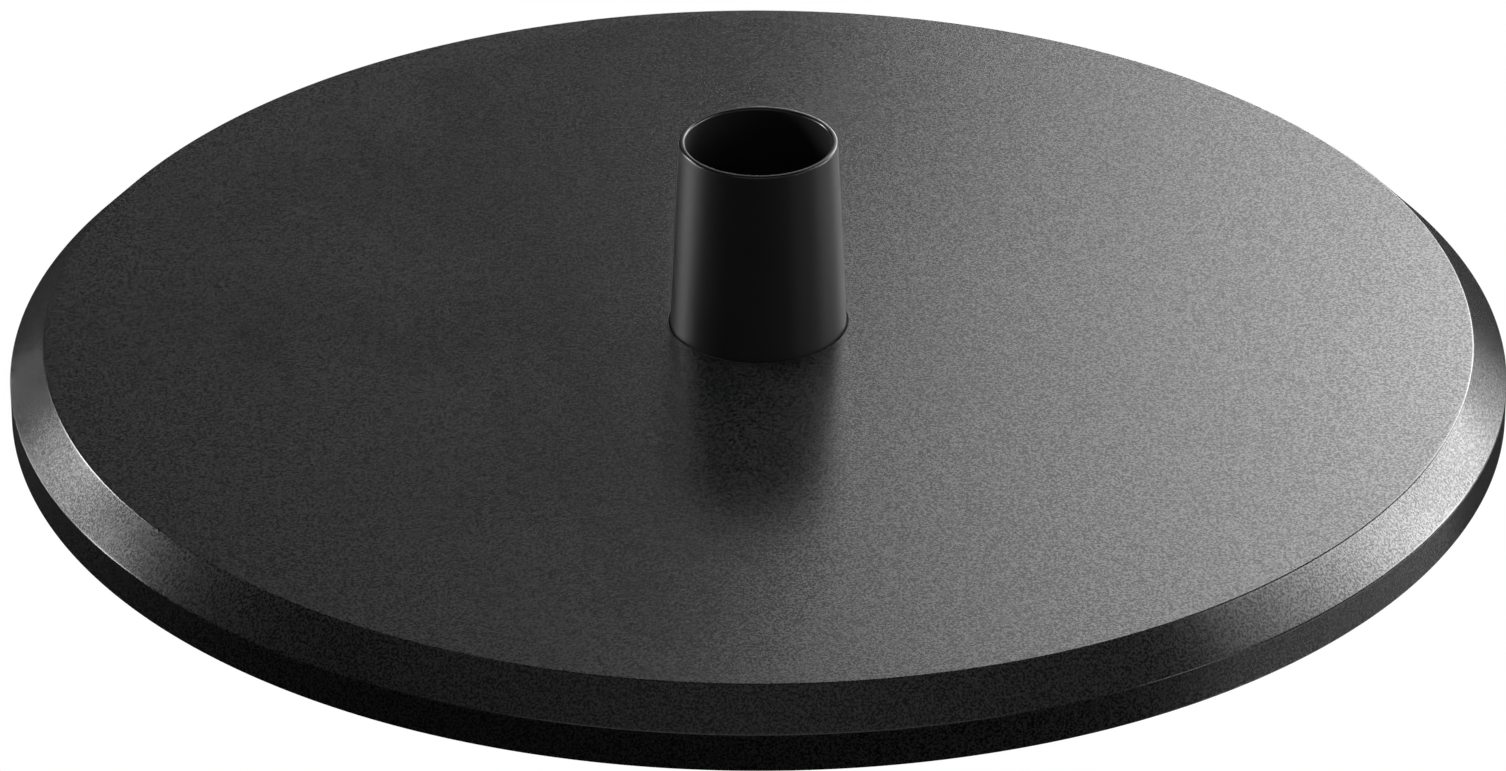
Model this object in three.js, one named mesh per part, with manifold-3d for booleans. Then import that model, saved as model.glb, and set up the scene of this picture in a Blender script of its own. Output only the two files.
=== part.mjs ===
// Parasol base: a bevelled steel disc on rubber feet, with a tapered socket for the foot of the pole.
// Millimetres, +Z up, origin on the ground at the centre of the base, the back of the base towards +Y.

import * as THREE from 'three';
import { mergeVertices } from 'three/addons/utils/BufferGeometryUtils.js';
import Module from 'manifold-3d';

const wasm = await Module();
wasm.setup();

// Driving dimensions

const GAP = 0.3; // left between pieces that touch
const OVERRUN = 1; // how far a cutter runs past the face it opens
const FACETS = { disc: 96, tube: 48, foot: 24, small: 16 };

const PLATE = { radius: 250, thickness: 24.5, bevel: 11.6, lowerEdge: 0.8, clearance: 2 };
const SOCKET = { height: 67, footRadius: 29.5, rimRadius: 26.3, boreRadius: 24.3, lip: 0.9 };
const FLANGE = { radius: 55, thickness: 7, underside: 5.5, tubeStep: 2.5, play: 0.5 };
const FLOOR_SHEET = { radius: 55, thickness: 2.6, underside: 2.6, drainRadius: 4 };
const WELD = { throat: 3.2, height: 1.9, sag: 0.4 };
const PAD = { thickness: 4, radius: 23.9, drainRadius: 4, edge: 0.6 };
const SEAL = { width: 0.6, height: 2.8, below: 0.2 };

const FLANGE_SCREW = {
  count: 6,
  pitchRadius: 42,
  headRadius: 6,
  shankRadius: 3,
  length: 18.2,
  chamfer: 0.8,
  sunk: 0.2,
  keyAcross: 4,
  keyDepth: 2.2,
};
const FOOT = {
  count: 6,
  pitchRadius: 205,
  startAngle: 30,
  radius: 20,
  height: 8,
  edge: 0.8,
  play: 0.4,
  recessRadius: 7.5,
  recessDepth: 4.6,
  holeRadius: 3,
};
const WASHER = { radius: 6.6, boreRadius: 2.8, thickness: 1 };
const FOOT_SCREW = {
  headRadius: 4.6,
  headHeight: 2.4,
  crown: 0.9,
  shankRadius: 2.5,
  length: 12,
  keyAcross: 3,
  keyDepth: 1.5,
};
const CLAMP_SCREW = {
  radius: 4,
  length: 8,
  point: 1.2,
  chamfer: 0.6,
  fromBack: 50,
  abovePlate: 20,
  keyAcross: 4,
  keyDepth: 4,
};

// Heights and radii that follow from them

const PLATE_TOP = PLATE.clearance + PLATE.thickness;
const RIM_TOP = PLATE_TOP + SOCKET.height;
const HOLE_RADIUS = SOCKET.footRadius + GAP;
const FLANGE_TOP = FLANGE.underside + FLANGE.thickness;
const COUNTERBORE_RADIUS = FLANGE.radius + FLANGE.play;
const COUNTERBORE_TOP = FLANGE_TOP + GAP;
const TUBE_BOTTOM = FLANGE.underside + FLANGE.tubeStep;
const SHEET_TOP = FLOOR_SHEET.underside + FLOOR_SHEET.thickness;
const PAD_BOTTOM = SHEET_TOP + GAP;
const SEAL_TOP = PLATE_TOP - SEAL.below;
const FOOT_POCKET = { radius: FOOT.radius + FOOT.play, top: FOOT.height + GAP };
const RECESS_TOP = FOOT.recessDepth;
const WASHER_BOTTOM = RECESS_TOP - GAP - WASHER.thickness;
const FOOT_HEAD_TOP = WASHER_BOTTOM - GAP;
const FLANGE_HEAD_BOTTOM = FLOOR_SHEET.underside + FLANGE_SCREW.sunk;
const CLAMP_TIP_RADIUS = SOCKET.boreRadius + GAP;
const SCREW_END_ROOM = 1;
const LIP_STEPS = 3;

// Finishes

const finish = (color, roughness, metalness) => ({ color, roughness, metalness });
const FINISHES = {
  plateCoat: finish(0x242424, 0.5, 0.1),
  socketCoat: finish(0x1c1c1c, 0.4, 0.1),
  rubber: finish(0x151515, 0.85, 0),
  zinc: finish(0x9a9c9e, 0.35, 1),
  blackSteel: finish(0x2a2a2c, 0.4, 0.8),
};

// Solids

/** A closed THREE geometry as a solid that can be cut and joined. */
function solid(geometry) {
  const bare = geometry.clone();
  bare.deleteAttribute('normal');
  bare.deleteAttribute('uv');
  const merged = mergeVertices(bare);
  const corners = merged.index.array;
  const kept = [];
  for (let i = 0; i < corners.length; i += 3) {
    const [a, b, c] = corners.slice(i, i + 3);
    if (a !== b && b !== c && c !== a) kept.push(a, b, c);
  }
  const vertProperties = new Float32Array(merged.attributes.position.array);
  return new wasm.Manifold(new wasm.Mesh({ numProp: 3, vertProperties, triVerts: new Uint32Array(kept) }));
}

/** A solid of revolution about Z from [radius, height] points, anticlockwise, closed or ending on the axis. */
function turned(profile, facets) {
  const points = profile.map(([radius, height]) => new THREE.Vector2(radius, height));
  return solid(new THREE.LatheGeometry(points, facets).rotateX(Math.PI / 2));
}

/** A solid of revolution whose outline closes on itself. */
function ring(profile, facets) {
  return turned([...profile, profile[0]], facets);
}

/** A round bar about Z. */
function rod(radius, bottom, top, facets = FACETS.small) {
  return turned([[0, bottom], [radius, bottom], [radius, top], [0, top]], facets);
}

/** A hexagonal bar about Z, given by its width across the flats. */
function hexBar(acrossFlats, bottom, top) {
  return rod(acrossFlats / Math.sqrt(3), bottom, top, 6);
}

/** Points along an arc in the [radius, height] plane, angles in degrees, both ends included. */
function arc(centreRadius, centreHeight, size, fromAngle, toAngle, steps) {
  const points = [];
  for (let i = 0; i <= steps; i += 1) {
    const angle = THREE.MathUtils.degToRad(fromAngle + ((toAngle - fromAngle) * i) / steps);
    points.push([centreRadius + size * Math.cos(angle), centreHeight + size * Math.sin(angle)]);
  }
  return points;
}

/** The same solid at each of several places evenly spaced round Z, starting at the given angle. */
function around(piece, pitchRadius, count, startAngle = 0) {
  return angles(count, startAngle).map((angle) => piece.translate([pitchRadius, 0, 0]).rotate([0, 0, angle]));
}

/** Evenly spaced angles round a full turn, in degrees. */
function angles(count, startAngle = 0) {
  return Array.from({ length: count }, (_, i) => startAngle + (360 * i) / count);
}

/** A solid lying along a radius of the base, its local Z turned to point outwards. */
function radial(piece, angle, height) {
  return piece.rotate([0, 90, 0]).rotate([0, 0, angle]).translate([0, 0, height]);
}

function cut(piece, cutters) {
  return cutters.reduce((rest, cutter) => rest.subtract(cutter), piece);
}

// Directions

const CLAMP_ANGLES = { left: 90 + CLAMP_SCREW.fromBack, right: 90 - CLAMP_SCREW.fromBack };
const CLAMP_HEIGHT = PLATE_TOP + CLAMP_SCREW.abovePlate;

// The plate and what is fixed in its middle

function basePlate() {
  const { radius, bevel, lowerEdge, clearance } = PLATE;
  const grooveRadius = HOLE_RADIUS + SEAL.width + GAP;
  const grooveFloor = SEAL_TOP - SEAL.height - GAP;
  const disc = ring(
    [
      [COUNTERBORE_RADIUS, clearance],
      [radius - lowerEdge, clearance],
      [radius, clearance + lowerEdge],
      [radius, PLATE_TOP - bevel],
      [radius - bevel, PLATE_TOP],
      [grooveRadius, PLATE_TOP],
      [grooveRadius, grooveFloor],
      [HOLE_RADIUS, grooveFloor],
      [HOLE_RADIUS, COUNTERBORE_TOP],
      [COUNTERBORE_RADIUS, COUNTERBORE_TOP],
    ],
    FACETS.disc,
  );
  const footHoleTop = FOOT_HEAD_TOP + FOOT_SCREW.length + SCREW_END_ROOM;
  const flangeHoleTop = FLANGE_HEAD_BOTTOM + FLANGE_SCREW.length + SCREW_END_ROOM;
  const pocket = rod(FOOT_POCKET.radius, 0, FOOT_POCKET.top, FACETS.foot);
  const footHole = rod(FOOT_SCREW.shankRadius + GAP, 0, footHoleTop);
  const flangeHole = rod(FLANGE_SCREW.shankRadius + GAP, FLANGE_TOP, flangeHoleTop);
  return cut(disc, [
    ...around(pocket.add(footHole), FOOT.pitchRadius, FOOT.count, FOOT.startAngle),
    ...around(flangeHole, FLANGE_SCREW.pitchRadius, FLANGE_SCREW.count),
  ]);
}

function socketTube() {
  const { footRadius, rimRadius, boreRadius, lip } = SOCKET;
  const tube = ring(
    [
      [boreRadius, TUBE_BOTTOM],
      [footRadius, TUBE_BOTTOM],
      [footRadius, PLATE_TOP],
      ...arc(rimRadius - lip, RIM_TOP - lip, lip, 0, 90, LIP_STEPS),
      ...arc(boreRadius + lip, RIM_TOP - lip, lip, 90, 180, LIP_STEPS),
    ],
    FACETS.tube,
  );
  const tapping = rod(CLAMP_SCREW.radius + GAP, boreRadius - 2 * OVERRUN, footRadius + 2 * OVERRUN);
  return cut(tube, Object.values(CLAMP_ANGLES).map((angle) => radial(tapping, angle, CLAMP_HEIGHT)));
}

function socketSeal() {
  const inner = SOCKET.footRadius + GAP;
  const outer = inner + SEAL.width;
  const edge = SEAL.width / 4;
  return ring(
    [
      [inner, SEAL_TOP - SEAL.height],
      [outer, SEAL_TOP - SEAL.height],
      [outer, SEAL_TOP - edge],
      [outer - edge, SEAL_TOP],
      [inner + edge, SEAL_TOP],
      [inner, SEAL_TOP - edge],
    ],
    FACETS.tube,
  );
}

/** The tapered hole that a countersunk flange screw sits in. */
function countersink() {
  const { headRadius, shankRadius } = FLANGE_SCREW;
  const depth = headRadius - shankRadius;
  const bottom = FLANGE_HEAD_BOTTOM;
  return turned(
    [
      [0, bottom - OVERRUN],
      [headRadius + GAP, bottom - OVERRUN],
      [headRadius + GAP, bottom],
      [shankRadius + GAP, bottom + depth],
      [shankRadius + GAP, FLANGE_TOP + OVERRUN],
      [0, FLANGE_TOP + OVERRUN],
    ],
    FACETS.small,
  );
}

function socketFlange() {
  const disc = ring(
    [
      [HOLE_RADIUS, FLANGE.underside],
      [FLANGE.radius, FLANGE.underside],
      [FLANGE.radius, FLANGE_TOP],
      [HOLE_RADIUS, FLANGE_TOP],
    ],
    FACETS.tube,
  );
  return cut(disc, around(countersink(), FLANGE_SCREW.pitchRadius, FLANGE_SCREW.count));
}

/** A fillet in the corner between the socket's lower end and the flange's bore. */
function flangeWeld() {
  const wall = HOLE_RADIUS - GAP;
  const top = TUBE_BOTTOM - GAP;
  return ring(
    [
      [wall, top - WELD.height],
      [wall, top],
      [wall - WELD.throat, top],
      [wall - WELD.throat / 2 - WELD.sag, top - WELD.height / 2 - WELD.sag],
    ],
    FACETS.tube,
  );
}

function floorPlate() {
  const top = SHEET_TOP;
  const sheet = ring(
    [
      [FLOOR_SHEET.drainRadius, FLOOR_SHEET.underside],
      [FLOOR_SHEET.radius, FLOOR_SHEET.underside],
      [FLOOR_SHEET.radius, top],
      [FLOOR_SHEET.drainRadius, top],
    ],
    FACETS.tube,
  );
  return cut(sheet, around(countersink(), FLANGE_SCREW.pitchRadius, FLANGE_SCREW.count));
}

function polePad() {
  const { radius, thickness, drainRadius, edge } = PAD;
  const top = PAD_BOTTOM + thickness;
  return ring(
    [
      [drainRadius, PAD_BOTTOM],
      [radius, PAD_BOTTOM],
      [radius, top - edge],
      [radius - edge, top],
      [drainRadius, top],
    ],
    FACETS.tube,
  );
}

// Fasteners and feet, each standing on its own axis

function flangeScrew() {
  const { headRadius, shankRadius, length, chamfer, keyAcross, keyDepth } = FLANGE_SCREW;
  const bottom = FLANGE_HEAD_BOTTOM;
  const end = bottom + length;
  const body = turned(
    [
      [0, bottom],
      [headRadius, bottom],
      [shankRadius, bottom + headRadius - shankRadius],
      [shankRadius, end - chamfer],
      [shankRadius - chamfer, end],
      [0, end],
    ],
    FACETS.small,
  );
  return body.subtract(hexBar(keyAcross, bottom - OVERRUN, bottom + keyDepth));
}

function foot() {
  const { radius, height, edge, recessRadius, holeRadius } = FOOT;
  return ring(
    [
      [recessRadius, 0],
      [radius - edge, 0],
      [radius, edge],
      [radius, height],
      [holeRadius, height],
      [holeRadius, RECESS_TOP],
      [recessRadius, RECESS_TOP],
    ],
    FACETS.foot,
  );
}

function footWasher() {
  const { radius, boreRadius, thickness } = WASHER;
  const top = WASHER_BOTTOM + thickness;
  return ring(
    [[boreRadius, WASHER_BOTTOM], [radius, WASHER_BOTTOM], [radius, top], [boreRadius, top]],
    FACETS.small,
  );
}

function footScrew() {
  const { headRadius, headHeight, crown, shankRadius, length, keyAcross, keyDepth } = FOOT_SCREW;
  const bottom = FOOT_HEAD_TOP - headHeight;
  const end = FOOT_HEAD_TOP + length;
  const body = turned(
    [
      [0, bottom],
      [headRadius - crown, bottom],
      [headRadius, bottom + crown],
      [headRadius, FOOT_HEAD_TOP],
      [shankRadius, FOOT_HEAD_TOP],
      [shankRadius, end],
      [0, end],
    ],
    FACETS.small,
  );
  return body.subtract(hexBar(keyAcross, bottom - OVERRUN, bottom + keyDepth));
}

/** A set screw along its own Z, tip at the bottom, key socket at the top. */
function clampScrew() {
  const { radius, length, point, chamfer, keyAcross, keyDepth } = CLAMP_SCREW;
  const tip = CLAMP_TIP_RADIUS;
  const end = tip + length;
  const body = turned(
    [
      [0, tip],
      [radius - point, tip],
      [radius, tip + point],
      [radius, end - chamfer],
      [radius - chamfer, end],
      [0, end],
    ],
    FACETS.small,
  );
  return body.subtract(hexBar(keyAcross, end - keyDepth, end + OVERRUN));
}

// Assembly

/** A named mesh of a solid in one of the finishes. */
function part(name, piece, look) {
  const { vertProperties, triVerts } = piece.getMesh();
  const geometry = new THREE.BufferGeometry();
  geometry.setAttribute('position', new THREE.BufferAttribute(vertProperties, 3));
  geometry.setIndex(new THREE.BufferAttribute(triVerts, 1));
  geometry.computeVertexNormals();
  const mesh = new THREE.Mesh(geometry, new THREE.MeshStandardMaterial(look));
  mesh.name = name;
  return mesh;
}

/** A group holding its pieces at one place on a pitch circle. */
function placed(pieces, pitchRadius, angle) {
  const group = new THREE.Group();
  const turn = THREE.MathUtils.degToRad(angle);
  group.position.set(pitchRadius * Math.cos(turn), pitchRadius * Math.sin(turn), 0);
  group.rotation.z = turn;
  group.add(...pieces);
  return group;
}

const parasolBase = new THREE.Group();

parasolBase.add(
  part('base_plate', basePlate(), FINISHES.plateCoat),
  part('socket_tube', socketTube(), FINISHES.socketCoat),
  part('socket_seal', socketSeal(), FINISHES.rubber),
  part('socket_flange', socketFlange(), FINISHES.socketCoat),
  part('flange_weld', flangeWeld(), FINISHES.socketCoat),
  part('floor_plate', floorPlate(), FINISHES.zinc),
  part('pole_pad', polePad(), FINISHES.rubber),
);

angles(FLANGE_SCREW.count).forEach((angle, i) => {
  const screw = part(`flange_screw_${i + 1}`, flangeScrew(), FINISHES.zinc);
  parasolBase.add(placed([screw], FLANGE_SCREW.pitchRadius, angle));
});

angles(FOOT.count, FOOT.startAngle).forEach((angle, i) => {
  const pieces = [
    part(`foot_${i + 1}`, foot(), FINISHES.rubber),
    part(`foot_washer_${i + 1}`, footWasher(), FINISHES.zinc),
    part(`foot_screw_${i + 1}`, footScrew(), FINISHES.zinc),
  ];
  parasolBase.add(placed(pieces, FOOT.pitchRadius, angle));
});

Object.entries(CLAMP_ANGLES).forEach(([side, angle]) => {
  const piece = radial(clampScrew(), angle, CLAMP_HEIGHT);
  parasolBase.add(part(`clamp_screw_${side}`, piece, FINISHES.blackSteel));
});

export default parasolBase;
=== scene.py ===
"""Parasol base: the fine surfaces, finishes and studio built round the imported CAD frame, in metres, +Z up."""

import math

import bmesh
import bpy
import numpy as np
from bpy.props import FloatProperty, FloatVectorProperty, IntProperty, PointerProperty
from mathutils import Matrix, Vector


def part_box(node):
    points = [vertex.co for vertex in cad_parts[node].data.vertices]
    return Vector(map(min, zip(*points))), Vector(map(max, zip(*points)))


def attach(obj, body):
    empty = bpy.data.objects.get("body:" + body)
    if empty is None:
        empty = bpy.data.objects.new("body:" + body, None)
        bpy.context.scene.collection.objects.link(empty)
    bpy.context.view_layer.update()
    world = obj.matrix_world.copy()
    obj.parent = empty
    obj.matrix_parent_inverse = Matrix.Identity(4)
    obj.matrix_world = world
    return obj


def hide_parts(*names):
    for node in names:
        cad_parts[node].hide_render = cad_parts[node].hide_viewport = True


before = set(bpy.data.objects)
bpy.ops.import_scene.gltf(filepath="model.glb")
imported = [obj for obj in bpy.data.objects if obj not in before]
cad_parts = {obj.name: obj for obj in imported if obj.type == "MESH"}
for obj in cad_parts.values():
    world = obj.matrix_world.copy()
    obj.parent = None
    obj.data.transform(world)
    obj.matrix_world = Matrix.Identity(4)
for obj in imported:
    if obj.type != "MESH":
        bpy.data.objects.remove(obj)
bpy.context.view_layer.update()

bl_info = {
    "name": "Parasol base",
    "version": (1, 0, 0),
    "blender": (4, 5, 0),
    "location": "View3D > Sidebar > Parasol base",
    "description": "Builds a bevelled parasol base with its socket, feet and fasteners",
    "category": "Add Mesh",
}

BODY = "base"
MM = 0.001
MERGE = 1e-6  # corners nearer than this, in metres, are one corner
OFF_SEAM = 0.037  # a cutter's turn, in radians, that keeps its seam off the seam of what it cuts
FULL_TURN = 2 * math.pi


# Places and sizes that the frame gives


def low(node):
    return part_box(node)[0]


def high(node):
    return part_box(node)[1]


def centre(node):
    """The middle of a node's box, on the ground."""
    middle = (low(node) + high(node)) / 2
    return Vector((middle.x, middle.y, 0.0))


def numbered(stem):
    """The nodes that share a stem, in order of their number."""
    names = [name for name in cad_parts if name.rsplit("_", 1)[0] == stem]
    return sorted(names, key=lambda name: int(name.rsplit("_", 1)[1]))


PLATE_RADIUS = high("base_plate").x
PLATE_TOP = high("base_plate").z
PLATE_UNDERSIDE = low("base_plate").z
SOCKET_FOOT_RADIUS = high("socket_tube").x
SOCKET_RIM = high("socket_tube").z
CLAMP_SIDES = ("left", "right")
SHARP = math.radians(32)
WALL = 0.75
FLOOR_CLOTH = 0.001


# Settings


def length(name, description, default):
    """A length in metres that a user can change."""
    measure = {"unit": "LENGTH", "subtype": "DISTANCE", "precision": 5, "min": 0.0}
    return FloatProperty(name=name, description=description, default=default, **measure)


def colour(name, description, default):
    return FloatVectorProperty(
        name=name, description=description, default=default, subtype="COLOR", size=3, min=0.0, max=1.0
    )


def share(name, description, default):
    limits = {"subtype": "FACTOR", "min": 0.0, "max": 1.0}
    return FloatProperty(name=name, description=description, default=default, **limits)


def amount(name, description, default):
    return FloatProperty(name=name, description=description, default=default, min=0.0)


class PlateSettings(bpy.types.PropertyGroup):
    """Sizes of the steel disc."""

    bevel: length("Bevel", "Width and height of the 45 degree bevel", 11.6 * MM)
    edge: length("Edge", "Rounding of the bevel's two edges", 0.9 * MM)
    foot_edge: length("Lower edge", "Rounding of the lower edge", 0.6 * MM)
    play: length("Play", "Gap left round what sits in the disc", 0.3 * MM)
    groove: length("Groove", "Width of the groove round the socket", 0.55 * MM)
    segments: IntProperty(name="Segments", description="Steps round the disc", default=480, min=48, max=1024)


class SocketSettings(bpy.types.PropertyGroup):
    """Sizes of the pole socket."""

    bore: length("Bore", "Radius of the opening for the pole", 24.3 * MM)
    rim: length("Rim", "Outer radius at the rim", 26.3 * MM)
    lip: length("Lip", "Rounding of the rim", 0.8 * MM)
    segments: IntProperty(name="Segments", description="Steps round the socket", default=192, min=32, max=512)


class FastenerSettings(bpy.types.PropertyGroup):
    """Sizes of the screws."""

    clamp_pitch: length("Clamp screw pitch", "Rise of one turn of the M8 thread", 1.25 * MM)
    flange_pitch: length("Flange screw pitch", "Rise of one turn of the M6 thread", 1.0 * MM)
    foot_pitch: length("Foot screw pitch", "Rise of one turn of the M5 thread", 0.8 * MM)
    segments: IntProperty(name="Segments", description="Steps round a screw", default=72, min=24, max=192)


class FinishSettings(bpy.types.PropertyGroup):
    """Colours and gloss of the finishes."""

    plate_black: colour("Disc coat", "Colour of the textured powder coat", (0.022, 0.022, 0.022))
    plate_roughness: share("Disc roughness", "Roughness of the textured powder coat", 0.24)
    grain: length("Grain", "Size of the powder coat's grain", 0.75 * MM)
    contrast: share("Grain contrast", "Half of the noise range that the grain's gloss spans", 0.17)
    socket_black: colour("Socket coat", "Colour of the satin powder coat", (0.013, 0.013, 0.013))
    socket_roughness: share("Socket roughness", "Roughness of the satin powder coat", 0.42)
    rubber: colour("Rubber", "Colour of the moulded rubber", (0.012, 0.012, 0.012))
    zinc: colour("Zinc", "Colour of the zinc plating", (0.52, 0.53, 0.55))
    black_oxide: colour("Black oxide", "Colour of the clamp screws", (0.03, 0.03, 0.032))


class StageSettings(bpy.types.PropertyGroup):
    """Camera and light."""

    lens: amount("Lens", "Focal length of the camera in millimetres", 187.75)
    distance: length("Distance", "Distance of the camera from the middle of the underside", 2.639)
    elevation: FloatProperty(
        name="Elevation", description="Height of the camera above the horizon", default=math.radians(28.49),
        subtype="ANGLE",
    )
    floor_colour: colour("Floor", "Colour of the floor", (1.0, 1.0, 1.0))
    floor_glow: amount("Floor glow", "Light of the floor's own", 1.0)
    reach: length("Reach", "Radius of the backdrop", 30.0)
    ambient: amount("Ambient", "Strength of the light from all round", 0.018)


class ParasolBaseSettings(bpy.types.PropertyGroup):
    """All settings of the parasol base."""

    plate: PointerProperty(type=PlateSettings, name="Plate", description="The steel disc")
    socket: PointerProperty(type=SocketSettings, name="Socket", description="The pole socket")
    fasteners: PointerProperty(type=FastenerSettings, name="Fasteners", description="The screws")
    finishes: PointerProperty(type=FinishSettings, name="Finishes", description="Colours and gloss")
    stage: PointerProperty(type=StageSettings, name="Stage", description="Camera and light")


def settings():
    return bpy.context.scene.parasol_base


# Surfaces


def rounded(corners, steps=6, support=0.2 * MM):
    """A closed outline of (radius, height) points from corners (radius, height, rounding).

    Each corner becomes an arc that touches both of its sides: its centre lies on the line that halves the
    corner, and its ends lie rounding / tan(half the corner's angle) from the corner. A short support step
    follows each arc on long sides, so that the flat beyond it shades as a flat.
    """
    points = np.array([corner[:2] for corner in corners], float)
    outline = []
    for i, (_, _, rounding) in enumerate(corners):
        here = points[i]
        back = points[i - 1] - here
        ahead = points[(i + 1) % len(points)] - here
        back_length, ahead_length = np.linalg.norm(back), np.linalg.norm(ahead)
        back, ahead = back / back_length, ahead / ahead_length
        if rounding == 0:
            outline.append(here[None])
            continue
        half = math.acos(np.clip(back @ ahead, -1, 1)) / 2
        reach = rounding / math.tan(half)
        middle = here + (back + ahead) / np.linalg.norm(back + ahead) * rounding / math.sin(half)
        start, end = here + back * reach - middle, here + ahead * reach - middle
        turn = np.arctan2(start[0] * end[1] - start[1] * end[0], start @ end)
        angles = np.arctan2(start[1], start[0]) + turn * np.linspace(0, 1, steps + 1)
        arc = middle + rounding * np.column_stack([np.cos(angles), np.sin(angles)])
        lead_in = [here + back * (reach + support)] if back_length > 4 * (reach + support) else []
        lead_out = [here + ahead * (reach + support)] if ahead_length > 4 * (reach + support) else []
        outline.append(np.array([*lead_in, *arc, *lead_out]))
    return np.concatenate(outline)


def hexagon(angle):
    """Distance from a hexagon's middle to its side at each angle, as a share of the distance to its flats."""
    return 1 / np.cos((angle + math.pi / 6) % (math.pi / 3) - math.pi / 6)


def revolved(outline, segments, closed=True, key=None, thread=None, ripple=None):
    """Vertices and faces of an outline carried round Z.

    A point at height z and angle a lies at (r cos a, r sin a, z). Where key is set, r grows to a hexagon's
    side at that angle. Where thread is set, r shrinks by the thread's depth times a triangle wave of
    z / pitch - a / full turn. ripple(angle) scales r for every point. An open outline starts and ends on the
    axis, and each of its ends becomes one vertex.
    """
    angle = np.linspace(0, FULL_TURN, segments, endpoint=False)
    radius = np.repeat(outline[:, :1], segments, axis=1)
    height = np.repeat(outline[:, 1:], segments, axis=1)
    if key is not None:
        radius = np.where(key[:, None], radius * hexagon(angle), radius)
    if thread is not None:
        cut, pitch, depth = thread
        phase = height / pitch - angle / FULL_TURN
        radius = radius - cut[:, None] * depth * np.abs(2 * (phase % 1) - 1)
    if ripple is not None:
        radius = radius * ripple(angle)
    grid = np.stack([radius * np.cos(angle), radius * np.sin(angle), height], axis=-1)
    rings = len(outline)
    index = np.arange(rings * segments).reshape(rings, segments)
    if closed:
        index = np.vstack([index, index[:1]])
        vertices = grid.reshape(-1, 3)
        return vertices, quads(index)
    body = index[1:-1] - segments + 1
    last = (rings - 2) * segments + 1
    vertices = np.concatenate([grid[:1, 0], grid[1:-1].reshape(-1, 3), grid[-1:, 0]])
    return vertices, quads(body) + fan(0, body[0][::-1]) + fan(last, body[-1])


def quads(index):
    """Four-sided faces between neighbouring rings of vertex numbers, joined round."""
    a, b = index[:-1], index[1:]
    faces = np.stack([a, np.roll(a, -1, 1), np.roll(b, -1, 1), b], axis=-1)
    return faces.reshape(-1, 4).tolist()


def fan(pole, ring):
    """Three-sided faces from a ring of vertex numbers to a pole."""
    return np.stack([ring, np.roll(ring, -1), np.full_like(ring, pole)], axis=-1).tolist()


def mesh_object(name, vertices, faces, place=None):
    """A smooth mesh object at the origin, with its place in its mesh."""
    if place is not None:
        turn = np.array(place)
        vertices = vertices @ turn[:3, :3].T + turn[:3, 3]
    mesh = bpy.data.meshes.new(name)
    mesh.from_pydata(vertices.tolist(), [], faces)
    mesh.shade_smooth()
    piece = bpy.data.objects.new(name, mesh)
    bpy.context.scene.collection.objects.link(piece)
    return piece


def cut(piece, cutters):
    """Cuts the cutters out of a piece, removes them, and marks the new corners as sharp."""
    for cutter in cutters:
        change = piece.modifiers.new("cut", "BOOLEAN")
        change.operation, change.solver, change.object = "DIFFERENCE", "EXACT", cutter
    graph = bpy.context.evaluated_depsgraph_get()
    mesh = bpy.data.meshes.new_from_object(piece.evaluated_get(graph))
    joined = bmesh.new()
    joined.from_mesh(mesh)
    bmesh.ops.remove_doubles(joined, verts=joined.verts, dist=MERGE)
    bmesh.ops.dissolve_degenerate(joined, edges=joined.edges, dist=MERGE)
    joined.to_mesh(mesh)
    joined.free()
    piece.modifiers.clear()
    piece.data = mesh
    mesh.set_sharp_from_angle(angle=SHARP)
    for cutter in cutters:
        bpy.data.objects.remove(cutter)
    return piece


def drill(outline, place, segments=48):
    """A cutter: an outline from axis to axis, carried round and put in its place."""
    vertices, faces = revolved(np.array(outline, float), segments, closed=False)
    return mesh_object("cutter", vertices, faces, place @ Matrix.Rotation(OFF_SEAM, 4, "Z"))


def bar(radius, bottom, top):
    """The outline of a round bar, from axis to axis."""
    return [(0, bottom), (radius, bottom), (radius, top), (0, top)]


def along_radius(angle, height):
    """The place that lays a piece's own Z along a radius of the base, at an angle and height."""
    turned = Matrix.Rotation(angle, 4, "Z") @ Matrix.Rotation(math.pi / 2, 4, "Y")
    return Matrix.Translation((0, 0, height)) @ turned


def fit_out(piece, node, slot, body=BODY):
    """Puts a finished piece on its body, in place of its CAD node, with its finish."""
    for mesh in (piece.data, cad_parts[node].data):
        mesh.materials.clear()
        mesh.materials.append(finish(slot))
    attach(piece, body)
    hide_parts(node)
    return piece


# Shader maths


class Socket:
    """An output socket of a material's nodes. Python's operators on it add Math nodes."""

    def __init__(self, graph, output):
        self.graph = graph
        self.output = output

    def math(self, operation, *values):
        return self.graph.node("ShaderNodeMath", {"operation": operation}, dict(enumerate(values)))

    def __add__(self, other):
        return self.math("ADD", self, other)

    __radd__ = __add__

    def __mul__(self, other):
        return self.math("MULTIPLY", self, other)

    __rmul__ = __mul__

    def __sub__(self, other):
        return self.math("SUBTRACT", self, other)

    def __rsub__(self, other):
        return self.math("SUBTRACT", other, self)

    def __truediv__(self, other):
        return self.math("DIVIDE", self, other)

    def __pow__(self, other):
        return self.math("POWER", self, other)

    def held(self):
        """The value held between 0 and 1."""
        return self.math("MAXIMUM", self.math("MINIMUM", self, 1.0), 0.0)

    def band(self, start, end):
        """0 below start, 1 above end, and a smooth rise between them."""
        limits = {"From Min": start, "From Max": end}
        return self.graph.node(
            "ShaderNodeMapRange", {"interpolation_type": "SMOOTHSTEP"}, {"Value": self, **limits}
        )


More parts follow.
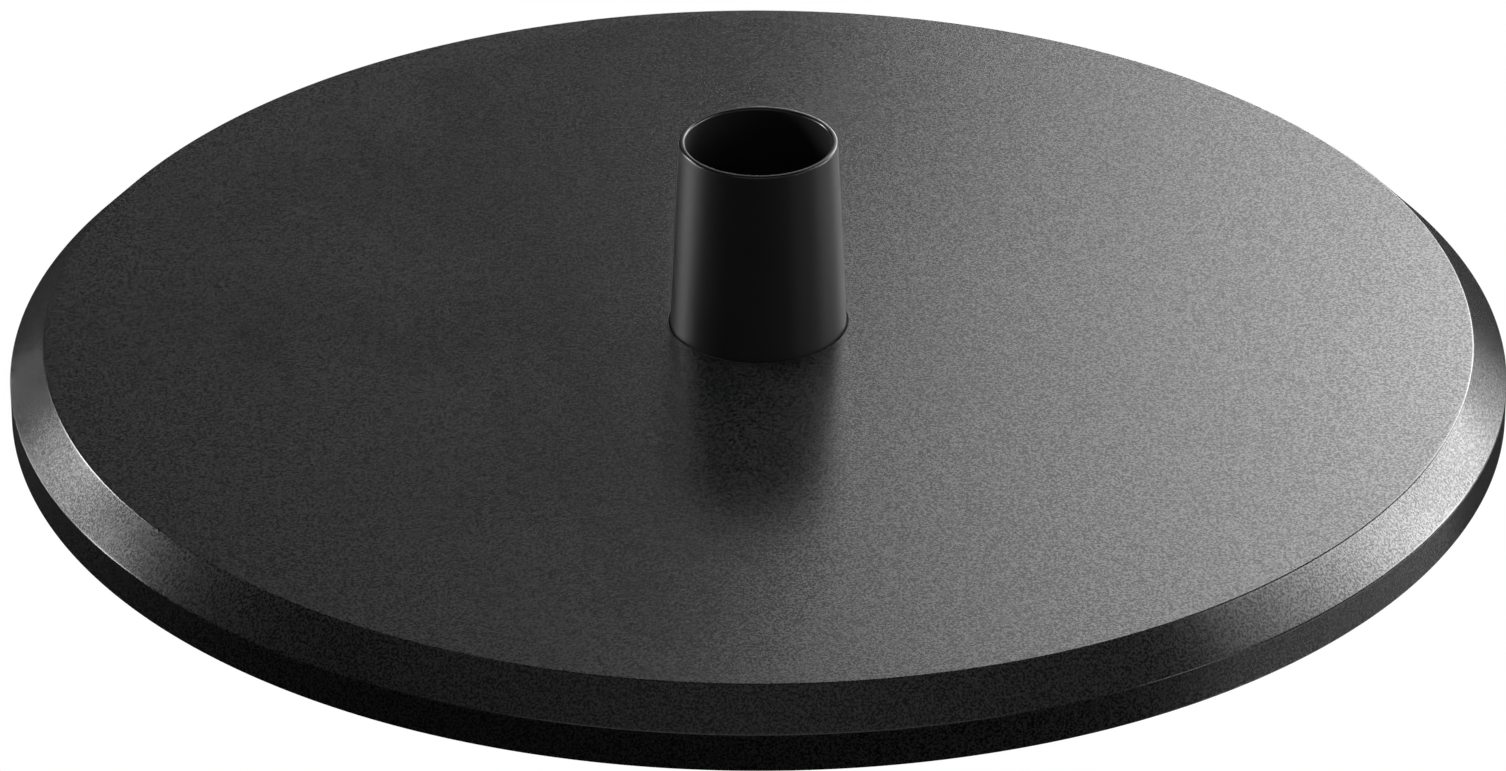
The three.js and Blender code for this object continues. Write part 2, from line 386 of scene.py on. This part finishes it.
class Graph:
    """The nodes of one material or world."""

    def __init__(self, owner):
        owner.use_nodes = True
        self.tree = owner.node_tree
        self.tree.nodes.clear()

    def node(self, kind, options=None, inputs=None, output=0):
        """Adds a node: first its options, then its inputs, each a number, colour, vector or Socket."""
        made = self.tree.nodes.new(kind)
        for name, value in (options or {}).items():
            setattr(made, name, value)
        for name, value in (inputs or {}).items():
            target = made.inputs[name]
            if isinstance(value, Socket):
                self.tree.links.new(value.output, target)
            else:
                target.default_value = value
        return Socket(self, made.outputs[output]) if made.outputs else None

    def place(self):
        """The point on the piece, in metres."""
        return self.node("ShaderNodeTexCoord", output="Object")

    def axes(self, vector):
        """The three numbers of a vector."""
        first = self.node("ShaderNodeSeparateXYZ", inputs={0: vector})
        return [Socket(self, first.output.node.outputs[i]) for i in range(3)]

    def cylinder(self):
        """The distance from the base's axis and the height."""
        x, y, z = self.axes(self.place())
        return (x * x + y * y) ** 0.5, z

    def noise(self, size, detail=2.0, roughness=0.5, vector=None):
        """Noise from 0 to 1 whose grains are about size across."""
        inputs = {"Scale": 1 / size, "Detail": detail, "Roughness": roughness}
        return self.node("ShaderNodeTexNoise", inputs={"Vector": vector or self.place(), **inputs})

    def mix(self, factor, first, second):
        """A colour between two colours."""
        inputs = {"Factor": factor, "A": first, "B": second}
        made = self.node("ShaderNodeMix", {"data_type": "RGBA"})
        node = made.output.node
        sockets = {socket.identifier: socket for socket in node.inputs}
        for name, value in inputs.items():
            target = sockets["Factor_Float" if name == "Factor" else name + "_Color"]
            if isinstance(value, Socket):
                self.tree.links.new(value.output, target)
            else:
                target.default_value = value
        output = next(socket for socket in node.outputs if socket.identifier == "Result_Color")
        return Socket(self, output)

    def bump(self, height, distance):
        """A normal from a height of 0 to 1 that stands for distance."""
        return self.node("ShaderNodeBump", inputs={"Height": height, "Distance": distance})

    def surface(self, **inputs):
        """The material's surface."""
        named = {name.replace("_", " "): value for name, value in inputs.items()}
        shader = self.node("ShaderNodeBsdfPrincipled", inputs=named)
        self.node("ShaderNodeOutputMaterial", inputs={"Surface": shader})


def near(value, target, reach):
    """1 where a value is at its target, falling to 0 at reach from it."""
    return (1 - value.math("ABSOLUTE", value - target) / reach).held()


def shade(rgb, factor):
    """An opaque colour, scaled."""
    return (*[channel * factor for channel in rgb], 1.0)


# Finishes


def textured_powder_coat():
    """Textured black powder coat: fine grains of uneven gloss on a soft relief, shinier on rubbed edges."""
    look = settings().finishes
    bevel = settings().plate.bevel
    material = bpy.data.materials.new("textured_powder_coat")
    graph = Graph(material)
    grains = graph.noise(look.grain, detail=1.0, roughness=0.6)
    relief = graph.noise(look.grain * 1.6, detail=2.0)
    clouds = graph.noise(60 * MM, detail=3.0)
    speckle = grains.band(0.5 - look.contrast, 0.5 + look.contrast)
    radius, height = graph.cylinder()
    reach = 0.7 * MM
    rubbed = near(radius + height, PLATE_RADIUS - bevel + PLATE_TOP, reach) * (
        near(radius, PLATE_RADIUS, reach) + near(height, PLATE_TOP, reach) * 0.6
    )
    base = graph.mix(speckle, shade(look.plate_black, 0.1), shade(look.plate_black, 1.9))
    graph.surface(
        Base_Color=base,
        Roughness=look.plate_roughness + (clouds - 0.5) * 0.03 - rubbed * 0.12,
        Specular_IOR_Level=0.25,
        Coat_Weight=0.15 + speckle * 0.7 * (1 - rubbed) + rubbed * 0.8,
        Coat_Roughness=look.plate_roughness,
        Normal=graph.bump((relief * 0.6 + grains * 0.4) * (1 - rubbed), 0.035 * MM),
    )
    return material


def satin_powder_coat():
    """Smooth satin black powder coat with a faint orange peel, shinier on the rim; down the bore it is duller
    and carries painted shade.
    """
    look = settings().finishes
    size = settings().socket
    material = bpy.data.materials.new("satin_powder_coat")
    graph = Graph(material)
    peel = graph.noise(1.6 * MM, detail=2.0)
    fine = graph.noise(0.6 * MM, detail=1.0)
    clouds = graph.noise(25 * MM, detail=3.0)
    radius, height = graph.cylinder()
    rim = height.band(SOCKET_RIM - size.lip, SOCKET_RIM - size.lip / 2)
    # The bore mask raises the roughness and paints shade: down the bore the colour drops to a tenth, standing
    # in for the unlit hollow.
    bore = (1 - radius.band(size.bore + 0.2 * MM, size.bore + 0.4 * MM)) * (1 - rim)
    coat = graph.mix(clouds, shade(look.socket_black, 0.85), shade(look.socket_black, 1.15))
    uneven = (clouds - 0.5) * 0.05 + (fine - 0.5) * 0.06
    graph.surface(
        # Painted shade: the coat's colour is darkened down the bore.
        Base_Color=graph.mix(bore, coat, shade(look.socket_black, 0.1)),
        Roughness=look.socket_roughness + uneven - rim * 0.2 + bore * 0.55,
        Specular_IOR_Level=0.5,
        Normal=graph.bump((peel * 0.7 + fine * 0.3) * (1 - rim), 0.03 * MM),
    )
    return material


def moulded_rubber():
    """Matt black rubber with a fine mould texture and a grey bloom."""
    look = settings().finishes
    material = bpy.data.materials.new("moulded_rubber")
    graph = Graph(material)
    texture = graph.noise(0.35 * MM, detail=2.0)
    bloom = graph.noise(9 * MM, detail=4.0, roughness=0.6).band(0.45, 0.75)
    base = graph.mix(bloom, shade(look.rubber, 0.9), shade(look.rubber, 1.9))
    graph.surface(
        Base_Color=base,
        Roughness=0.78 + bloom * 0.12,
        Normal=graph.bump(texture, 0.02 * MM),
    )
    return material


def zinc_plating():
    """Dull zinc plating with soft crystal patches and fine scratches."""
    look = settings().finishes
    material = bpy.data.materials.new("zinc_plating")
    graph = Graph(material)
    spangle = graph.node("ShaderNodeTexVoronoi", inputs={"Vector": graph.place(), "Scale": 1 / (3.5 * MM)})
    stretched = graph.node(
        "ShaderNodeMapping", inputs={"Vector": graph.place(), "Rotation": (0, 0, 0.4), "Scale": (1, 14, 1)}
    )
    scratches = graph.noise(4 * MM, detail=5.0, roughness=0.7, vector=stretched)
    tone = spangle * 0.35 + scratches * 0.65
    base = graph.mix(tone, shade(look.zinc, 0.72), shade(look.zinc, 1.12))
    graph.surface(
        Base_Color=base,
        Metallic=1.0,
        Roughness=0.28 + scratches * 0.22,
        Normal=graph.bump(scratches, 0.01 * MM),
    )
    return material


def black_oxide():
    """Black oxide on steel, worn a little towards bare metal in patches."""
    look = settings().finishes
    material = bpy.data.materials.new("black_oxide")
    graph = Graph(material)
    patches = graph.noise(1.2 * MM, detail=4.0, roughness=0.65)
    worn = patches.band(0.58, 0.72)
    base = graph.mix(worn, shade(look.black_oxide, 1.0), (0.16, 0.155, 0.15, 1.0))
    graph.surface(
        Base_Color=base,
        Metallic=0.85,
        Roughness=0.36 + patches * 0.15 - worn * 0.08,
        Normal=graph.bump(patches, 0.01 * MM),
    )
    return material


FINISHES = {
    "plate_coat": textured_powder_coat,
    "socket_coat": satin_powder_coat,
    "rubber": moulded_rubber,
    "zinc_plate": zinc_plating,
    "black_steel": black_oxide,
}


def finish(slot):
    """The material of a slot, made once."""
    name = FINISHES[slot].__name__
    return bpy.data.materials.get(name) or FINISHES[slot]()


# Pieces


def base_plate():
    """The steel disc: a bevelled ring outline carried round, with pockets and holes drilled from below."""
    size = settings().plate
    play = size.play
    hole = SOCKET_FOOT_RADIUS + play
    groove = SOCKET_FOOT_RADIUS + size.groove
    groove_floor = low("socket_seal").z - play
    counterbore = high("socket_flange").x + 0.5 * MM
    counterbore_top = high("socket_flange").z + play
    corners = [
        (counterbore, PLATE_UNDERSIDE, 0.5 * MM),
        (PLATE_RADIUS, PLATE_UNDERSIDE, size.foot_edge),
        (PLATE_RADIUS, PLATE_TOP - size.bevel, size.edge),
        (PLATE_RADIUS - size.bevel, PLATE_TOP, size.edge),
        (groove, PLATE_TOP, 0.15 * MM),
        (groove, groove_floor, 0.1 * MM),
        (hole, groove_floor, 0.2 * MM),
        (hole, counterbore_top, 0.3 * MM),
        (counterbore, counterbore_top, 0.4 * MM),
    ]
    piece = mesh_object("base_plate_body", *revolved(rounded(corners), size.segments))
    cutters = []
    for node in numbered("foot"):
        radius = (high(node).x - low(node).x) / 2 + 0.4 * MM
        at = Matrix.Translation(centre(node))
        cutters.append(drill(bar(radius, PLATE_UNDERSIDE - 5 * MM, high(node).z + play), at, 64))
    for node in numbered("foot_screw"):
        at = Matrix.Translation(centre(node))
        cutters.append(drill(bar(2.6 * MM, high("foot_1").z, high(node).z + 1 * MM), at, 24))
    for node in numbered("flange_screw"):
        at = Matrix.Translation(centre(node))
        cutters.append(drill(bar(3.1 * MM, high("socket_flange").z, high(node).z + 1 * MM), at, 24))
    return fit_out(cut(piece, cutters), "base_plate", "plate_coat")


def clamp_place(side):
    """The place of a clamp screw: its own Z points outwards along its radius."""
    middle = (low(f"clamp_screw_{side}") + high(f"clamp_screw_{side}")) / 2
    return along_radius(math.atan2(middle.y, middle.x), middle.z)


def socket_tube():
    """The tapered socket: straight bore, tapering outside, rounded rim, and two tapped holes at the back."""
    size = settings().socket
    bottom = low("socket_tube").z
    steps = 34
    taper = np.linspace(0, 1, steps)[1:-1]
    draw_in, rise = size.rim - SOCKET_FOOT_RADIUS, SOCKET_RIM - PLATE_TOP
    outside = [(SOCKET_FOOT_RADIUS + draw_in * t, PLATE_TOP + rise * t, 0) for t in taper]
    inside = [(size.bore, SOCKET_RIM + (bottom - SOCKET_RIM) * t, 0) for t in taper]
    corners = [
        (size.bore, bottom, 0.4 * MM),
        (SOCKET_FOOT_RADIUS, bottom, 0.4 * MM),
        (SOCKET_FOOT_RADIUS, PLATE_TOP, 0),
        *outside,
        (size.rim, SOCKET_RIM, size.lip),
        (size.bore, SOCKET_RIM, size.lip),
        *inside,
    ]
    piece = mesh_object("socket_tube_body", *revolved(rounded(corners), size.segments))
    hole, mouth, wall_end = 4.06 * MM, 4.7 * MM, SOCKET_FOOT_RADIUS + 4 * MM
    wall, inside_bore = SOCKET_FOOT_RADIUS - 1.0 * MM, size.bore - 3 * MM
    outline = [
        (0, inside_bore),
        (hole, inside_bore),
        (hole, wall - 0.5 * MM),
        (mouth, wall + 0.15 * MM),
        (mouth + 4 * MM, wall_end),
        (0, wall_end),
    ]
    cutters = [drill(outline, clamp_place(side), 64) for side in CLAMP_SIDES]
    return fit_out(cut(piece, cutters), "socket_tube", "socket_coat")


def socket_seal():
    """The rubber ring in the gap round the socket's foot, its top a low round bead."""
    play = 0.05 * MM
    inner, outer = SOCKET_FOOT_RADIUS + play, SOCKET_FOOT_RADIUS + settings().plate.groove - play
    top, bottom = high("socket_seal").z, low("socket_seal").z
    bead = (outer - inner) / 2 - 0.02 * MM
    corners = [(inner, bottom, bead / 2), (outer, bottom, bead / 2), (outer, top, bead), (inner, top, bead)]
    piece = mesh_object("socket_seal_ring", *revolved(rounded(corners), 240))
    return fit_out(piece, "socket_seal", "rubber")


def ring_outline(node, inner, edge):
    """The rounded outline of a flat ring that fills a node's box."""
    bottom, top, outer = low(node).z, high(node).z, (high(node).x - low(node).x) / 2
    return rounded([(inner, bottom, edge), (outer, bottom, edge), (outer, top, edge), (inner, top, edge)])


def countersinks():
    """Cutters for the countersunk holes of the flange screws."""
    bottom = low("flange_screw_1").z
    head, shank, play = 6 * MM, 3 * MM, 0.2 * MM
    top = high("socket_flange").z + 1 * MM
    outline = [
        (0, bottom - 2 * MM),
        (head + play, bottom - 2 * MM),
        (head + play, bottom),
        (shank + play, bottom + head - shank),
        (shank + play, top),
        (0, top),
    ]
    return [drill(outline, Matrix.Translation(centre(node))) for node in numbered("flange_screw")]


def socket_flange():
    """The steel ring under the disc that carries the socket, with six countersunk holes."""
    outline = ring_outline("socket_flange", SOCKET_FOOT_RADIUS + 0.3 * MM, 0.4 * MM)
    piece = cut(mesh_object("socket_flange_ring", *revolved(outline, 160)), countersinks())
    return fit_out(piece, "socket_flange", "socket_coat")


def floor_plate():
    """The zinc plated sheet that closes the underside, with its drain hole and six countersunk holes."""
    drain = 4 * MM
    outline = ring_outline("floor_plate", drain, 0.3 * MM)
    piece = cut(mesh_object("floor_plate_sheet", *revolved(outline, 160)), countersinks())
    return fit_out(piece, "floor_plate", "zinc_plate")


def flange_weld():
    """The weld bead: a filled corner carried round, its radius rising and falling with its ripples."""
    low_corner, high_corner = low("flange_weld"), high("flange_weld")
    wall, throat = high_corner.x, 3.2 * MM
    corners = [
        (wall - 0.1 * MM, low_corner.z, 0.15 * MM),
        (wall - 0.1 * MM, high_corner.z, 0.15 * MM),
        (wall - throat, high_corner.z, 0.3 * MM),
        (wall - throat * 0.62, low_corner.z + 0.3 * MM, 0.8 * MM),
    ]
    ripples, swell = 90, 0.002

    def rippled(angle):
        """The bead's radius at an angle, as a share of its full radius."""
        return 1 - swell * np.abs(np.sin(angle * ripples / 2))

    piece = mesh_object("flange_weld_bead", *revolved(rounded(corners), 720, ripple=rippled))
    return fit_out(piece, "flange_weld", "socket_coat")


def pole_pad():
    """The rubber pad under the pole: a disc whose top carries round ribs, cut as a cosine of the radius."""
    bottom, top, outer = low("pole_pad").z, high("pole_pad").z, high("pole_pad").x
    drain, pitch, depth = 4 * MM, 3.2 * MM, 0.6 * MM
    radius = np.linspace(outer - 1.6 * MM, drain + 1.2 * MM, 90)
    ribs = top - depth / 2 * (1 - np.cos(FULL_TURN * (radius - radius[0]) / pitch))
    edge = rounded([(drain, bottom, 0.4 * MM), (outer, bottom, 0.4 * MM), (outer, top, 0.6 * MM)])
    top_inner = [(drain + 0.4 * MM, top - 0.1 * MM), (drain, top - 0.5 * MM)]
    keep = edge[edge[:, 1] <= top]
    outline = np.concatenate([keep, np.column_stack([radius, ribs]), top_inner])
    piece = mesh_object("pole_pad_disc", *revolved(outline, 160))
    return fit_out(piece, "pole_pad", "rubber")


def screw_surface(head, shank_radius, shank_start, shank_end, pitch, key_flats, key_depth):
    """A screw standing on its key end: key socket, head outline, threaded shank and chamfered end."""
    start = head[0][1]
    key = key_flats / 2
    mouth = [(key, start + 0.2 * MM), (key + 0.25 * MM, start)]
    socket = [(0, start + key_depth), (key, start + key_depth), *mouth]
    turns = np.arange(shank_start, shank_end, pitch / 8)
    thread = [(shank_radius, height) for height in turns]
    tip = [(shank_radius - 0.8 * MM, shank_end + 0.8 * MM), (0, shank_end + 0.8 * MM)]
    outline = np.array([*socket, *head, *thread, *tip])
    keyed = np.zeros(len(outline), bool)
    keyed[1:3] = True
    threaded = np.zeros(len(outline))
    threaded[len(socket) + len(head):-2] = 1
    depth = 0.54 * pitch
    segments = settings().fasteners.segments
    return revolved(outline, segments, closed=False, key=keyed, thread=(threaded, pitch, depth))


def flange_screws():
    """Six countersunk screws, head down, flush with the floor plate."""
    pitch = settings().fasteners.flange_pitch
    for node in numbered("flange_screw"):
        bottom, top = low(node).z, high(node).z
        head = [(5.7 * MM, bottom), (6 * MM, bottom + 0.25 * MM), (3 * MM, bottom + 3.2 * MM)]
        surface = screw_surface(head, 3 * MM, bottom + 3.4 * MM, top - 0.8 * MM, pitch, 4 * MM, 2.2 * MM)
        piece = mesh_object(f"{node}_steel", *surface, Matrix.Translation(centre(node)))
        piece.data.set_sharp_from_angle(angle=SHARP)
        fit_out(piece, node, "zinc_plate")


def feet():
    """Six rubber feet: rings with a recess for the screw and round grooves in the sole."""
    for node in numbered("foot"):
        outer, top = (high(node).x - low(node).x) / 2, high(node).z
        recess, recess_top, hole = 7.5 * MM, 4.6 * MM, 3 * MM
        groove, width = 0.8 * MM, 1.6 * MM
        sole = []
        for middle in (10.8 * MM, 13.8 * MM, 16.8 * MM):
            start, end = middle - width / 2, middle + width / 2
            sole += [(start, 0, 0.2 * MM), (start + 0.3 * MM, groove, 0.2 * MM)]
            sole += [(end - 0.3 * MM, groove, 0.2 * MM), (end, 0, 0.2 * MM)]
        corners = [
            (recess, 0, 0.5 * MM),
            *sole,
            (outer, 0, 0.9 * MM),
            (outer, top, 0.4 * MM),
            (hole, top, 0.3 * MM),
            (hole, recess_top, 0.3 * MM),
            (recess, recess_top, 0.5 * MM),
        ]
        outline = rounded(corners, steps=4)
        piece = mesh_object(f"{node}_rubber", *revolved(outline, 96), Matrix.Translation(centre(node)))
        fit_out(piece, node, "rubber")


def foot_washers():
    """A flat washer in each foot's recess."""
    for node in numbered("foot_washer"):
        bore, edge = 2.8 * MM, 0.15 * MM
        surface = revolved(ring_outline(node, bore, edge), 64)
        piece = mesh_object(f"{node}_steel", *surface, Matrix.Translation(centre(node)))
        fit_out(piece, node, "zinc_plate")


def foot_screws():
    """A button head screw that holds each foot, head down in the recess."""
    pitch = settings().fasteners.foot_pitch
    for node in numbered("foot_screw"):
        bottom, top = low(node).z, high(node).z
        head_radius, head_height = 4.6 * MM, 2.4 * MM
        dome = np.linspace(0.35, 1, 8) * math.pi / 2
        head = [
            (head_radius * math.sin(a), bottom + (head_height - 0.9 * MM) * (1 - math.cos(a)) * 0.9)
            for a in dome
        ]
        head = [(radius, max(height, bottom)) for radius, height in head]
        head += [(head_radius, bottom + head_height), (2.6 * MM, bottom + head_height)]
        start = bottom + head_height + 0.2 * MM
        surface = screw_surface(head, 2.5 * MM, start, top - 0.8 * MM, pitch, 3 * MM, 1.5 * MM)
        piece = mesh_object(f"{node}_steel", *surface, Matrix.Translation(centre(node)))
        piece.data.set_sharp_from_angle(angle=SHARP)
        fit_out(piece, node, "zinc_plate")


def clamp_screws():
    """The two set screws at the back of the socket: threaded all along, key outside, cup point inside."""
    pitch = settings().fasteners.clamp_pitch
    radius, key, key_depth = 4 * MM, 2 * MM, 4 * MM
    tip = settings().socket.bore + 0.3 * MM
    end = tip + 8 * MM
    chamfer, point = 0.6 * MM, 1.2 * MM
    turns = np.arange(tip + point, end - chamfer, pitch / 10)
    cup = [(0, tip + 0.9 * MM), (1.6 * MM, tip + 0.25 * MM), (2.2 * MM, tip), (radius - point, tip)]
    shank = [(radius, height) for height in turns]
    top = [(radius - chamfer, end), (key + 0.3 * MM, end)]
    socket = [(key, end - 0.3 * MM), (key, end - key_depth), (0, end - key_depth - 0.6 * MM)]
    outline = np.array([*cup, *shank, *top, *socket])
    keyed = np.zeros(len(outline), bool)
    keyed[-3:-1] = True
    threaded = np.zeros(len(outline))
    threaded[len(cup):len(cup) + len(shank)] = 1
    thread = (threaded, pitch, 0.54 * pitch)
    for side in CLAMP_SIDES:
        node = f"clamp_screw_{side}"
        surface = revolved(outline, 96, closed=False, key=keyed, thread=thread)
        piece = mesh_object(f"{node}_steel", *surface, clamp_place(side))
        piece.data.set_sharp_from_angle(angle=SHARP)
        fit_out(piece, node, "black_steel", body=node)


# Stage


def backdrop():
    """A pale floor that rises into a dome far out: a flat disc, then a quarter arc, carried round.

    Only the camera sees it, so the black coat shows the light panels and not the white all round it. Under
    the base it glows dark, a painted shadow where the base would shade it, and it is clear from outside,
    so that the underside can be looked at too.
    """
    reach, climb = settings().stage.reach, np.linspace(0, 1, 24) * math.pi / 2
    below = -0.5 * MM
    arc = np.column_stack([reach * (0.5 + 0.5 * np.sin(climb)), below + reach * 0.5 * (1 - np.cos(climb))])
    roof = np.column_stack([reach * np.cos(climb), reach * (0.5 + 0.5 * np.sin(climb))])
    outline = np.concatenate([[(0, below)], arc, roof[1:-1], [(0, reach)]])
    vertices, faces = revolved(outline, 96, closed=False)
    ground = mesh_object("backdrop", vertices, [face[::-1] for face in faces])
    material = bpy.data.materials.new("backdrop")
    graph = Graph(material)
    look = settings().stage
    glow = {"Color": shade(look.floor_colour, 1), "Strength": look.floor_glow}
    bright = graph.node("ShaderNodeEmission", inputs=glow)
    dark = {"Color": shade(look.floor_colour, 0.005)}
    shaded = graph.node("ShaderNodeEmission", inputs=dark)
    radius, _ = graph.cylinder()
    # Painted shadow: inside the base's edge the floor glows almost black, standing in for the shade under the
    # base.
    shadow_start, shadow_end = PLATE_RADIUS - 30 * MM, PLATE_RADIUS - 10 * MM
    open_floor = radius.band(shadow_start, shadow_end)
    inside = graph.node("ShaderNodeMixShader", inputs={0: open_floor, 1: shaded, 2: bright})
    outside = graph.node("ShaderNodeBsdfTransparent")
    behind = graph.node("ShaderNodeNewGeometry", output="Backfacing")
    both = graph.node("ShaderNodeMixShader", inputs={0: behind, 1: inside, 2: outside})
    graph.node("ShaderNodeOutputMaterial", inputs={"Surface": both})
    ground.data.materials.append(material)
    ground.visible_diffuse = False
    ground.visible_glossy = False
    ground.visible_shadow = False


def soft_box(name, corner, along, up, start, end):
    """A flat soft box: corner + s along + t up, facing the base, its glow running from start to end."""
    corner, along, up = np.array(corner), np.array(along), np.array(up)
    vertices = np.array([corner, corner + along, corner + along + up, corner + up])
    turned = np.cross(along, up) @ (corner + (along + up) / 2) > 0
    cloth = mesh_object(name, vertices, [(3, 2, 1, 0) if turned else (0, 1, 2, 3)])
    glow = cloth.data.attributes.new("glow", "FLOAT", "POINT")
    glow.data.foreach_set("value", np.array([start, end, end, start], np.float32))
    cloth.data.materials.append(soft_box_cloth())
    cloth.visible_camera = False


def soft_box_cloth():
    """Black cloth that glows by its own amount at each point."""
    name = "soft_box_cloth"
    if name in bpy.data.materials:
        return bpy.data.materials[name]
    material = bpy.data.materials.new(name)
    graph = Graph(material)
    graph.surface(
        Base_Color=(0, 0, 0, 1),
        Specular_IOR_Level=0.0,
        Emission_Color=graph.node("ShaderNodeAttribute", {"attribute_name": "glow"}, output="Fac"),
        Emission_Strength=1.0,
    )
    return material


def camera():
    """The camera, looking at the middle of the underside, with a small shift for the framing."""
    view = settings().stage
    data = bpy.data.cameras.new("camera")
    data.lens = view.lens
    data.sensor_width = 36
    data.shift_x = -0.0036
    data.shift_y = -0.0006
    data.clip_end = 200
    viewer = bpy.data.objects.new("camera", data)
    target = Vector((0, 0, PLATE_UNDERSIDE))
    backwards = Vector((0, -math.cos(view.elevation), math.sin(view.elevation)))
    viewer.location = target + view.distance * backwards
    viewer.rotation_euler = (math.pi / 2 - view.elevation, 0, 0)
    bpy.context.scene.collection.objects.link(viewer)
    bpy.context.scene.camera = viewer


def lights():
    """The soft boxes round the base."""
    for box in SOFT_BOXES:
        soft_box(*box)


def ambient():
    """A faint even light from all round."""
    world = bpy.data.worlds.new("studio")
    bpy.context.scene.world = world
    graph = Graph(world)
    strength = settings().stage.ambient
    background = graph.node("ShaderNodeBackground", inputs={"Color": (1, 1, 1, 1), "Strength": strength})
    graph.node("ShaderNodeOutputWorld", inputs={"Surface": background})


# Each soft box: its name, a corner, its two sides, and its glow at the start and end of the first side
SOFT_BOXES = (
    ("left_box", (-WALL, 0.25, 0.25), (0, 0.25, 0), (0, 0, 0.25), 24, 18),
    ("left_spot", (-WALL, 0, 0.125), (0, 0.125, 0), (0, 0, 0.125), 16, 16),
    ("left_fill", (-WALL, 0.125, 0), (0, 0.31, 0), (0, 0, 0.25), 1.8, 1.8),
    ("right_slant", (WALL, -0.25, 0.545), (0, 0.5, -0.5), (0, 0, 0.16), 3, 16.5),
    ("right_box", (WALL, 0.25, 0.125), (0, 0.25, 0), (0, 0, 0.125), 8, 8),
    ("right_far", (WALL, 0.5, 0.25), (0, 0.25, 0), (0, 0, 0.5), 1, 7),
    ("right_fill", (WALL, 0.375, 0), (0, 0.375, 0), (0, 0, 0.125), 3, 1),
    ("right_edge", (WALL, -0.625, 0.125), (0, 0.25, 0), (0, 0, 0.25), 3, 3),
    ("back_middle", (0, WALL, 0.375), (0.25, 0, 0), (0, 0, 0.375), 1, 3),
    ("back_right", (0.25, WALL, 0.375), (0.5, 0, 0), (0, 0, 0.375), 3, 14),
    ("back_lower", (0, WALL, 0.125), (0.75, 0, 0), (0, 0, 0.25), 0, 7.5),
    ("back_strip", (0, WALL, 0), (0.375, 0, 0), (0, 0, 0.125), 6, 6),
    ("back_left", (-0.375, WALL, 0.125), (0.375, 0, 0), (0, 0, 0.625), 0.1, 0.3),
    ("ceiling", (-WALL, -WALL, WALL), (1.5, 0, 0), (0, 0.5, 0), 0.15, 0.15),
    ("floor_right", (0.5, -0.125, FLOOR_CLOTH), (0.25, 0, 0), (0, 0.625, 0), 1.5, 5),
    ("floor_left", (-WALL, 0, FLOOR_CLOTH), (0.25, 0, 0), (0, 0.42, 0), 10, 10),
    ("floor_left_near", (-0.5, 0, FLOOR_CLOTH), (0.125, 0, 0), (0, 0.125, 0), 8, 8),
    ("low_upper", (WALL, -0.375, -0.25), (0, 1.125, 0), (0, 0, 0.125), 2, 1.2),
    ("low_middle", (WALL, -0.375, -0.5), (0, 0.75, 0), (0, 0, 0.25), 0.35, 0.35),
    ("low_bottom", (WALL, -0.375, -0.625), (0, 0.75, 0), (0, 0, 0.125), 7, 1),
    ("front_fill", (-0.5, -WALL, 0.25), (1.0, 0, 0), (0, 0, 0.5), 0.5, 0.5),
    ("under_fill", (-0.16, -0.16, -0.3), (0.32, 0, 0), (0, 0.32, 0), 2, 2),
)


# Operators


class PARASOL_OT_plate(bpy.types.Operator):
    """Builds the steel disc"""

    bl_idname = "parasol.plate"
    bl_label = "Plate"

    def execute(self, context):
        base_plate()
        return {"FINISHED"}


class PARASOL_OT_socket(bpy.types.Operator):
    """Builds the pole socket and the ring round its foot"""

    bl_idname = "parasol.socket"
    bl_label = "Socket"

    def execute(self, context):
        socket_tube()
        socket_seal()
        return {"FINISHED"}


class PARASOL_OT_socket_mounting(bpy.types.Operator):
    """Builds the flange, weld, floor plate, pole pad and flange screws"""

    bl_idname = "parasol.socket_mounting"
    bl_label = "Socket mounting"

    def execute(self, context):
        socket_flange()
        flange_weld()
        floor_plate()
        pole_pad()
        flange_screws()
        return {"FINISHED"}


class PARASOL_OT_feet(bpy.types.Operator):
    """Builds the rubber feet with their washers and screws"""

    bl_idname = "parasol.feet"
    bl_label = "Feet"

    def execute(self, context):
        feet()
        foot_washers()
        foot_screws()
        return {"FINISHED"}


class PARASOL_OT_clamp_screws(bpy.types.Operator):
    """Builds the set screws that grip the pole"""

    bl_idname = "parasol.clamp_screws"
    bl_label = "Clamp screws"

    def execute(self, context):
        clamp_screws()
        return {"FINISHED"}


class PARASOL_OT_stage(bpy.types.Operator):
    """Builds the floor, the soft boxes and the camera"""

    bl_idname = "parasol.stage"
    bl_label = "Stage"

    def execute(self, context):
        context.scene.view_settings.view_transform = "Standard"
        camera()
        backdrop()
        lights()
        ambient()
        return {"FINISHED"}


OPERATORS = (
    PARASOL_OT_plate,
    PARASOL_OT_socket,
    PARASOL_OT_socket_mounting,
    PARASOL_OT_feet,
    PARASOL_OT_clamp_screws,
    PARASOL_OT_stage,
)


class PARASOL_PT_panel(bpy.types.Panel):
    """The settings and the steps that build the base"""

    bl_idname = "PARASOL_PT_panel"
    bl_label = "Parasol base"
    bl_space_type = "VIEW_3D"
    bl_region_type = "UI"
    bl_category = "Parasol base"

    def draw(self, context):
        groups = context.scene.parasol_base
        for group in (groups.plate, groups.socket, groups.fasteners, groups.finishes, groups.stage):
            box = self.layout.box()
            for name in group.__annotations__:
                box.prop(group, name)
        for operator in OPERATORS:
            self.layout.operator(operator.bl_idname)


CLASSES = (
    PlateSettings,
    SocketSettings,
    FastenerSettings,
    FinishSettings,
    StageSettings,
    ParasolBaseSettings,
    *OPERATORS,
    PARASOL_PT_panel,
)


def register():
    for item in CLASSES:
        bpy.utils.register_class(item)
    bpy.types.Scene.parasol_base = PointerProperty(type=ParasolBaseSettings)


def unregister():
    del bpy.types.Scene.parasol_base
    for item in reversed(CLASSES):
        bpy.utils.unregister_class(item)


def main():
    register()
    bpy.ops.parasol.stage()
    bpy.ops.parasol.plate()
    bpy.ops.parasol.socket()
    bpy.ops.parasol.socket_mounting()
    bpy.ops.parasol.feet()
    bpy.ops.parasol.clamp_screws()


if __name__ == "__main__":
    main()
